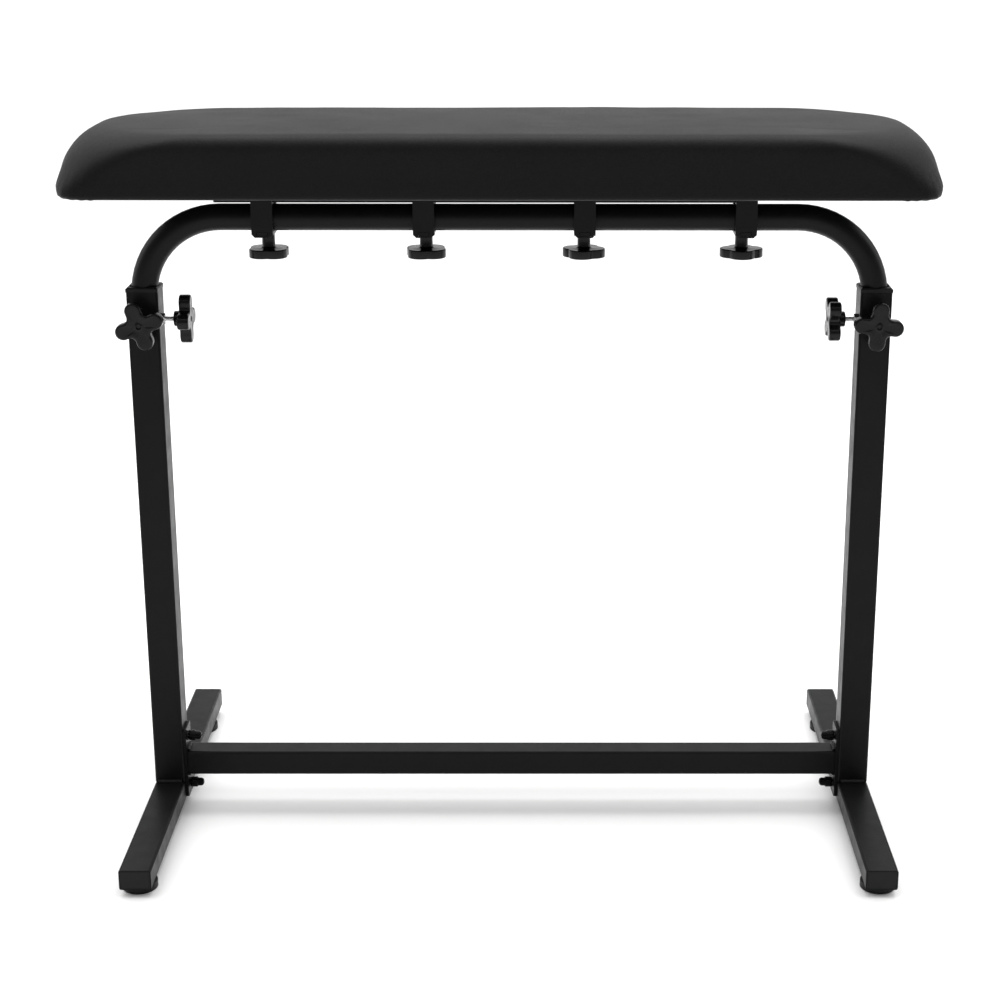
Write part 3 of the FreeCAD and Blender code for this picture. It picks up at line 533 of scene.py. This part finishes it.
def outline_size(h):
    """Half length, half depth and corner radius of the pad at height h: upright ends, corners rounder towards the top."""
    s = h / TALL
    length = HALF - LEAN * s - quarter(h, LOW_END) - quarter(TALL - h, END_R)
    deep = DEEP - quarter(h, LOW_SIDE) - quarter(TALL - h, SIDE_R)
    return length, deep, min(PLAN_LOW + (PLAN_HIGH - PLAN_LOW) * s ** PLAN_POW, deep - 0.001)


def on_outline(a, b, size):
    length, deep, r = size
    x, y = a * length, b * deep
    dx, dy = abs(x) - (length - r), abs(y) - (deep - r)
    if dx > 0 and dy > 0:
        q = r / math.hypot(dx, dy)
        x, y = math.copysign(length - r + dx * q, x), math.copysign(deep - r + dy * q, y)
    return x, y


def fractions(n, full, edge):
    """Even steps from -1 to 1, with the nearest ones moved to both sides of the dust cloth's border."""
    out = [2 * i / n - 1 for i in range(n + 1)]
    for i in range(1, n // 2):
        if -out[i] * full >= edge > -out[i + 1] * full:
            out[i], out[i + 1] = -(edge + 0.0012) / full, -(edge - 0.0012) / full
            out[n - i], out[n - i - 1] = -out[i], -out[i + 1]
            break
    return out


def pad_mesh(step):
    nx, ny = 2 * round(HALF / step), 2 * round(DEEP / step)
    low = outline_size(0.0)
    fa, fb = fractions(nx, low[0], CLOTH_X), fractions(ny, low[1], CLOTH_Y)
    n, m = max(2, round((TALL - END_R - LOW_SIDE) / step)), 8
    heights = [LOW_SIDE * (1 - math.cos(math.pi / 2 * k / 3)) for k in range(3)]
    heights += [LOW_SIDE + (TALL - END_R - LOW_SIDE) * k / n for k in range(n)]
    heights += [TALL - END_R + END_R * math.sin(math.pi / 2 * k / m) for k in range(m + 1)]
    loop = [(i, 0) for i in range(nx)] + [(nx, j) for j in range(ny)]
    loop += [(nx - i, ny) for i in range(nx)] + [(0, ny - j) for j in range(ny)]
    bm = bmesh.new()
    rings = []
    for h in heights:
        size, ring = outline_size(h), {}
        for i, j in loop:
            x, y = on_outline(fa[i], fb[j], size)
            ring[i, j] = bm.verts.new((x, PAD_Y + y, PAD_Z + h))
        rings.append(ring)
    for lower, upper in zip(rings, rings[1:]):
        for k in range(len(loop)):
            p, q = loop[k], loop[(k + 1) % len(loop)]
            bm.faces.new((lower[p], lower[q], upper[q], upper[p]))
    for ring, h in ((rings[0], 0.0), (rings[-1], TALL)):
        size, grid = outline_size(h), dict(ring)
        for i in range(1, nx):
            for j in range(1, ny):
                s = max(abs(fa[i]), abs(fb[j]))
                w = min(1.0, max(0.0, (s - 0.45) / 0.55)) ** 0.8
                part = (size[0], size[1], max(1e-6, size[2] * w))
                x, y = on_outline(fa[i] / s, fb[j] / s, part) if s > 1e-9 else (0.0, 0.0)
                grid[i, j] = bm.verts.new((x * s, PAD_Y + y * s, PAD_Z + h))
        for i in range(nx):
            for j in range(ny):
                bm.faces.new((grid[i, j], grid[i + 1, j], grid[i + 1, j + 1], grid[i, j + 1]))
    bmesh.ops.recalc_face_normals(bm, faces=bm.faces)
    me = bpy.data.meshes.new("cushion")
    bm.to_mesh(me)
    bm.free()
    return me


cushion = bpy.data.objects.new("cushion", pad_mesh(0.0068))
scene.collection.objects.link(cushion)
z_pin = PAD_Z + 0.0055
# the skin starts a little small over the foam, then the pressure fills it out
SHRINK, CAP = 0.0006, 0.0018
cushion.data.update()
normals = [v.normal.copy() for v in cushion.data.vertices]
for v, nrm in zip(cushion.data.vertices, normals):
    free = min(1.0, max(0.0, (v.co.z - z_pin) / 0.010))
    v.co -= nrm * (SHRINK * free)
grp = cushion.vertex_groups.new(name="held")
grp.add([v.index for v in cushion.data.vertices if v.co.z < z_pin], 1.0, "REPLACE")
start = [v.co.copy() for v in cushion.data.vertices]
cl = cushion.modifiers.new("cloth", "CLOTH")
cs = cl.settings
cs.quality = 6
cs.mass = 0.4
cs.tension_stiffness = 28
cs.compression_stiffness = 28
cs.shear_stiffness = 12
cs.bending_stiffness = 3.0
cs.use_pressure = True
cs.uniform_pressure_force = 4.0
cs.vertex_group_mass = "held"
cs.effector_weights.gravity = 0.0
scene.frame_start, scene.frame_end = 1, 20
cl.point_cache.frame_start, cl.point_cache.frame_end = 1, 20
for f in range(1, 21):
    scene.frame_set(f)
dg = bpy.context.evaluated_depsgraph_get()
sim = cushion.evaluated_get(dg).to_mesh()
moved = [v.co.copy() for v in sim.vertices]
cushion.evaluated_get(dg).to_mesh_clear()
cushion.modifiers.clear()
cushion.vertex_groups.clear()
shift = np.array([tuple(b - a) for a, b in zip(start, moved)])
size = np.sqrt((shift ** 2).sum(axis=1))[:, None]
far = float(size.max())
shift *= CAP * np.tanh(size / CAP) / np.maximum(size, 1e-9)
ends = np.array([tuple(e.vertices) for e in cushion.data.edges])
loose = np.array([p.z >= z_pin for p in start])[:, None]
count = np.zeros((len(start), 1))
np.add.at(count, ends.ravel(), 1.0)
for _ in range(160):  # foam under the skin evens out small buckles
    near = np.zeros_like(shift)
    np.add.at(near, ends[:, 0], shift[ends[:, 1]])
    np.add.at(near, ends[:, 1], shift[ends[:, 0]])
    shift = np.where(loose, (shift + near / count) / 2, shift)
for v, a, d in zip(cushion.data.vertices, start, shift):
    v.co = a + Vector([float(c) for c in d])
print("cushion: %d points, largest simulated move %.1f mm" % (len(start), far * 1000))
scene.frame_set(1)

sub = cushion.modifiers.new("subdivide", "SUBSURF")
sub.levels = sub.render_levels = 1
apply_modifiers(cushion)

# tailoring: hem line, gathers at the rolled ends, the wrap under the board, small unevenness of the foam
cushion.data.update()
normals = [v.normal.copy() for v in cushion.data.vertices]
for v, nrm in zip(cushion.data.vertices, normals):
    x, y, z = v.co.x, v.co.y - PAD_Y, v.co.z - PAD_Z
    move = 0.0
    up = min(1.0, max(0.0, (z - 0.010) / 0.020))
    move += up * (0.00055 * noise.noise(Vector((x * 7, y * 9, z * 9 + 3.1)))
                  + 0.00022 * noise.noise(Vector((x * 26, y * 30, z * 30 + 8.2))))
    if abs(nrm.z) < 0.8 and z > 0.001:
        move -= 0.00045 * math.exp(-((z - 0.0060) / 0.0013) ** 2)      # drawn-in line above the lower edge
        low = max(0.0, 1 - z / 0.034)
        corner = min(1.0, max(0.0, (abs(x) - 0.350) / 0.03) * max(0.0, (abs(y) - 0.075) / 0.03))
        turn = math.atan2(abs(y) - 0.095, max(1e-6, abs(x) - 0.370))
        move += 0.00016 * low * corner * math.sin(turn * 15 + 2.5 * noise.noise(Vector((x * 9, y * 9, 0))))
        move += 0.00035 * low * noise.noise(Vector((x * 42, y * 42, z * 14)))
    if nrm.z < -0.6 and z < 0.004:
        if abs(x) < CLOTH_X + 0.0006 and abs(y) < CLOTH_Y + 0.0006:
            v.co.z = PAD_Z + 0.0008
        else:
            v.co.z = PAD_Z + 0.0001 + max(0.0, v.co.z - PAD_Z)
            if abs(x) > 0.356 and abs(y) > 0.092:
                turn = math.atan2(abs(y) - 0.088, abs(x) - 0.352)
                v.co.z -= 0.0005 * max(0.0, math.sin(turn * 24))
    v.co += nrm * move
cushion.data.materials.clear()
cushion.data.materials.append(M_LEATHER)
cushion.data.polygons.foreach_set("use_smooth", [True] * len(cushion.data.polygons))
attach(cushion, "top")
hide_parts("seat_cover", "foam_core")

# staples that hold the dust cloth and the wrapped skin under the board
bm = bmesh.new()


def staple(x, y, ang):
    w, t = 0.010, 0.0006
    m = Matrix.Translation(Vector((x, y, PAD_LO.z - 0.0002))) @ Matrix.Rotation(ang, 4, "Z")
    cr = bmesh.ops.create_cube(bm, size=1.0, matrix=m @ Matrix.Diagonal(Vector((w, t * 1.6, t, 1.0))))
    edges = []
    for vert in cr["verts"]:
        edges += [e for e in vert.link_edges if e not in edges]
    bmesh.ops.bevel(bm, geom=edges, offset=0.00018, segments=2, affect="EDGES")


def wob(k, s):
    return noise.noise(Vector((k * 3.7, s * 9.1, 0.5)))


for k in range(17):
    x = -0.336 + 0.042 * k
    for s in (-1, 1):
        staple(x + 0.004 * wob(k, s), PAD_Y + s * 0.0845 + 0.0012 * wob(k + 40, s), 0.25 * wob(k + 9, s))
for k in range(4):
    y = PAD_Y - 0.060 + 0.040 * k
    for s in (-1, 1):
        staple(s * 0.3465, y + 0.003 * wob(k + 70, s), math.pi / 2 + 0.25 * wob(k + 80, s))
me = bpy.data.meshes.new("staples")
bm.to_mesh(me)
bm.free()
staples = add_object("staples", me, M_ZINC, "top", smooth=False)

# ------------------------------------------------------------------ floor, light, camera
floor_me = bpy.data.meshes.new("floor")
R = 45.0
floor_me.from_pydata([(-R, -R, 0), (R, -R, 0), (R, R, 0), (-R, R, 0)], [], [(0, 1, 2, 3)])
floor = bpy.data.objects.new("floor", floor_me)
scene.collection.objects.link(floor)
m, nt, b = material("floor", (0.86, 0.86, 0.86), 0.9, ior=1.2)
v = coords(nt)
nt.links.new(blend_color(nt, tex_noise(nt, v, 1.5, 3.0), (0.86, 0.86, 0.858), (0.88, 0.88, 0.878)), b.inputs["Base Color"])
floor_me.materials.append(m)

world = bpy.data.worlds.new("studio")
scene.world = world
world.use_nodes = True
wt = world.node_tree
bg = wt.nodes["Background"]
tc = wt.nodes.new("ShaderNodeTexCoord")
sep = wt.nodes.new("ShaderNodeSeparateXYZ")
wt.links.new(tc.outputs["Generated"], sep.inputs["Vector"])
# bright behind and overhead, darker in front: what the black surfaces mirror
side_l = span(wt, sep.outputs["Y"], -0.9, 0.9, 0.24, 0.86)
zen = wt.nodes.new("ShaderNodeMapRange")
zen.interpolation_type = "SMOOTHSTEP"
zen.inputs["From Min"].default_value = 0.50
zen.inputs["From Max"].default_value = 0.78
zen.inputs["To Min"].default_value = 0.0
zen.inputs["To Max"].default_value = 1.25
wt.links.new(sep.outputs["Z"], zen.inputs["Value"])
level = math_node(wt, "ADD", side_l, zen.outputs["Result"])
lp = wt.nodes.new("ShaderNodeLightPath")
mixv = wt.nodes.new("ShaderNodeMix")
mixv.data_type = "FLOAT"
mixv.inputs["B"].default_value = 1.0
wt.links.new(lp.outputs["Is Camera Ray"], mixv.inputs["Factor"])
wt.links.new(level, mixv.inputs["A"])
bg.inputs["Color"].default_value = (1, 1, 1, 1)
wt.links.new(mixv.outputs["Result"], bg.inputs["Strength"])


def area(name, loc, target, size, power, size_y=None):
    d = bpy.data.lights.new(name, "AREA")
    d.energy = power
    d.size = size
    if size_y:
        d.shape = "RECTANGLE"
        d.size_y = size_y
    o = bpy.data.objects.new(name, d)
    o.location = loc
    o.rotation_mode = "QUATERNION"
    o.rotation_quaternion = (Vector(target) - Vector(loc)).to_track_quat("-Z", "Y")
    o.visible_camera = False
    scene.collection.objects.link(o)
    return o


area("soft_top", (0.0, 0.4, 3.2), (0, 0, 0.3), 2.6, 60, 2.0)
area("soft_left", (-3.0, 0.6, 1.6), (0, 0, 0.4), 1.6, 18, 2.2)
area("soft_right", (3.0, 0.6, 1.6), (0, 0, 0.4), 1.6, 18, 2.2)

cam_data = bpy.data.cameras.new("camera")
camera = bpy.data.objects.new("camera", cam_data)
scene.collection.objects.link(camera)
cam_data.sensor_width = 36.0
cam_data.lens = 72.57
cam_data.shift_x = -0.045
cam_data.clip_end = 200.0
pitch, yaw, roll = 0.30098, 0.00277, 0.00123
fwd = Vector((math.sin(yaw) * math.cos(pitch), math.cos(yaw) * math.cos(pitch), -math.sin(pitch)))
right = Vector((math.cos(yaw), -math.sin(yaw), 0.0))
up = right.cross(fwd)
r2 = right * math.cos(roll) + up * math.sin(roll)
u2 = up * math.cos(roll) - right * math.sin(roll)
camera.matrix_world = Matrix.Translation(Vector((0.0355, -1.8918, 0.9058))) @ Matrix(
    (r2, u2, -fwd)).transposed().to_4x4()
scene.camera = camera
scene.view_settings.view_transform = "Standard"
